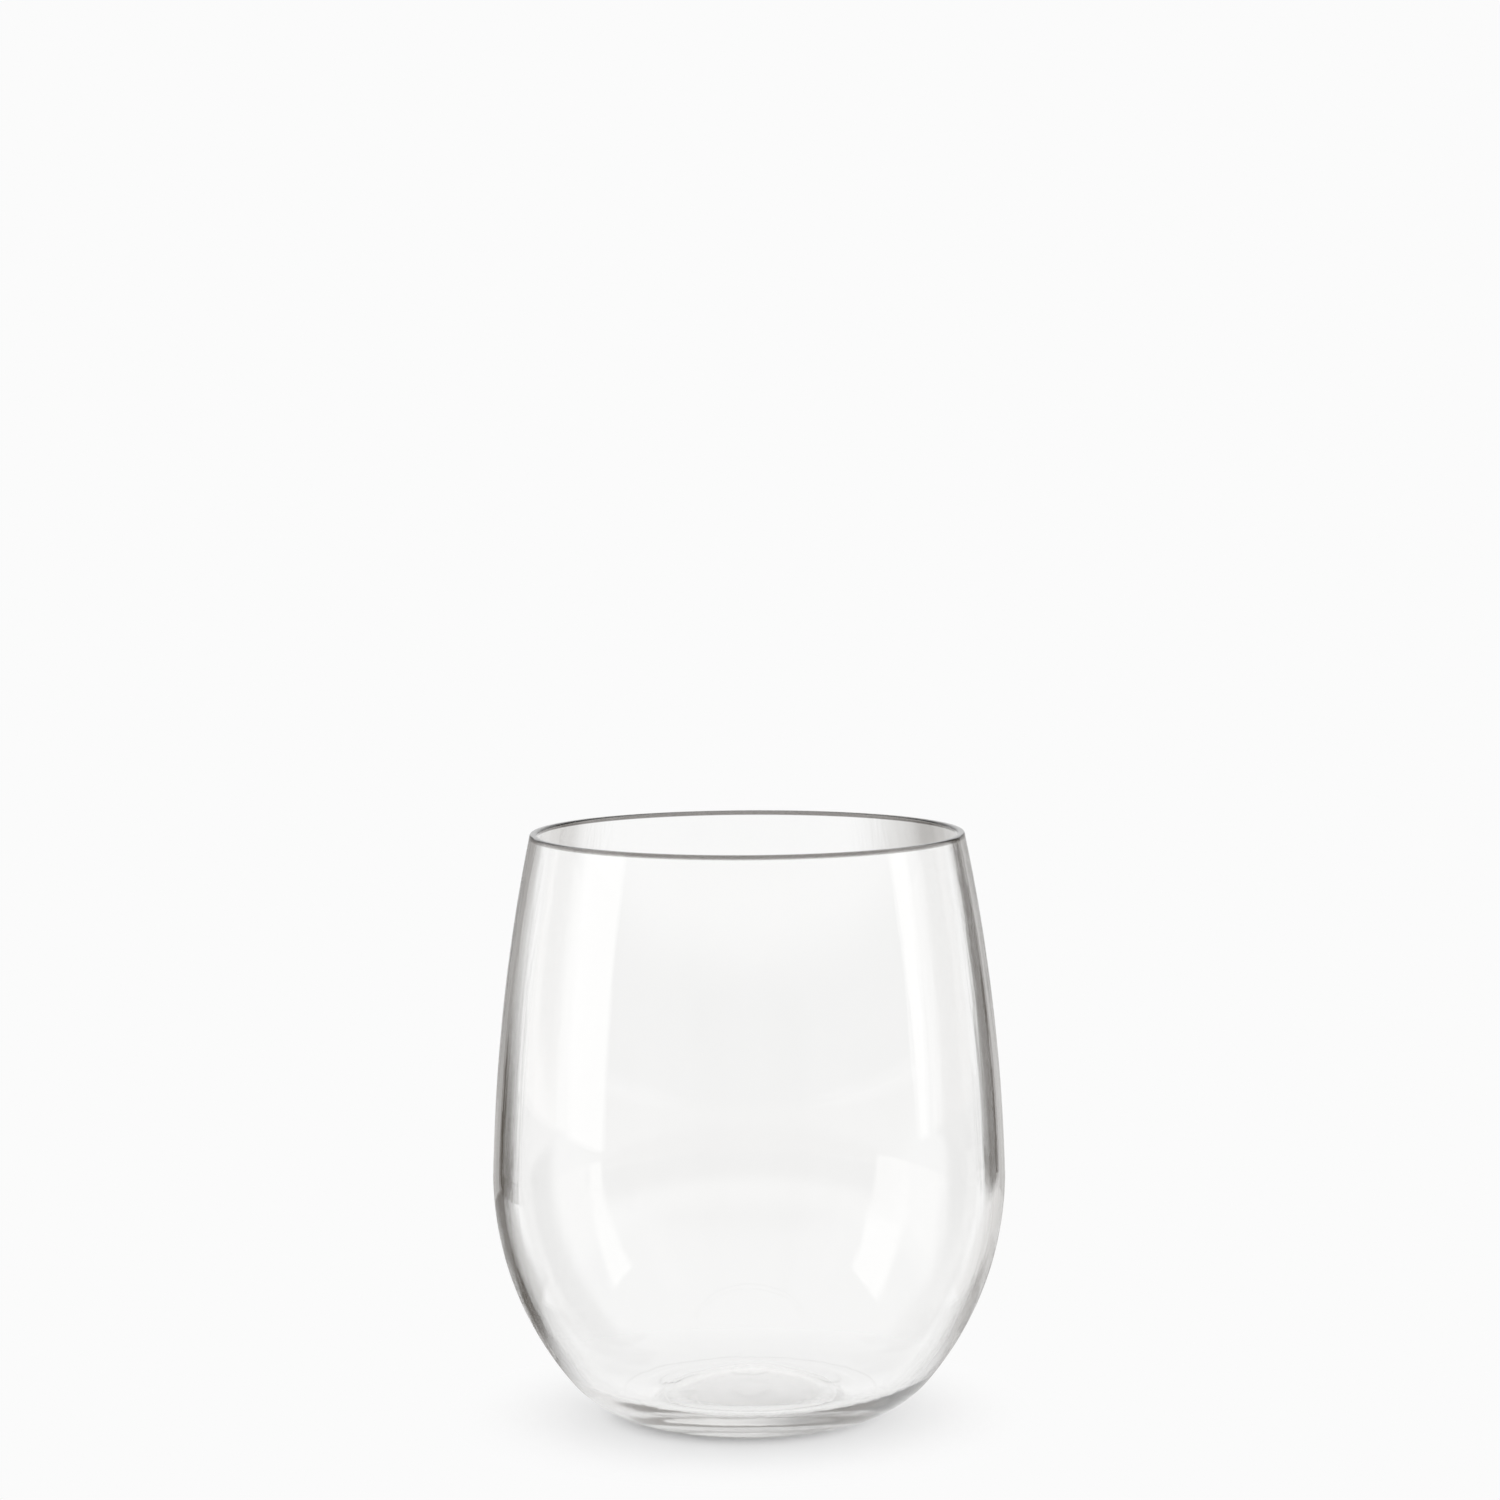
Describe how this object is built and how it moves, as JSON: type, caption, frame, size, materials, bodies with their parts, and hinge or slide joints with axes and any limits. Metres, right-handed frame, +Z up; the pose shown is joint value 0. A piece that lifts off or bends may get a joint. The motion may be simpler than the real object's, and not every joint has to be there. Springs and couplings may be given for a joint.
{
  "type": "short tumbler",
  "caption": "Short stemless drinking tumbler, one clear moulded wall with a full belly, a narrower mouth, a rounded heel and a small hollow-backed foot.",
  "frame": {"origin": "centre of the foot, on the table", "axes": "+Z up along the axis of revolution; X and Y are free, because the tumbler is round"},
  "size_m": [0.09, 0.09, 0.103],
  "materials": {
    "clear_wall": "clear, polished inside and out, with light handling scuffs at the belly"
  },
  "bodies": {
    "root": {"tumbler": "clear_wall"}
  },
  "joints": []
}
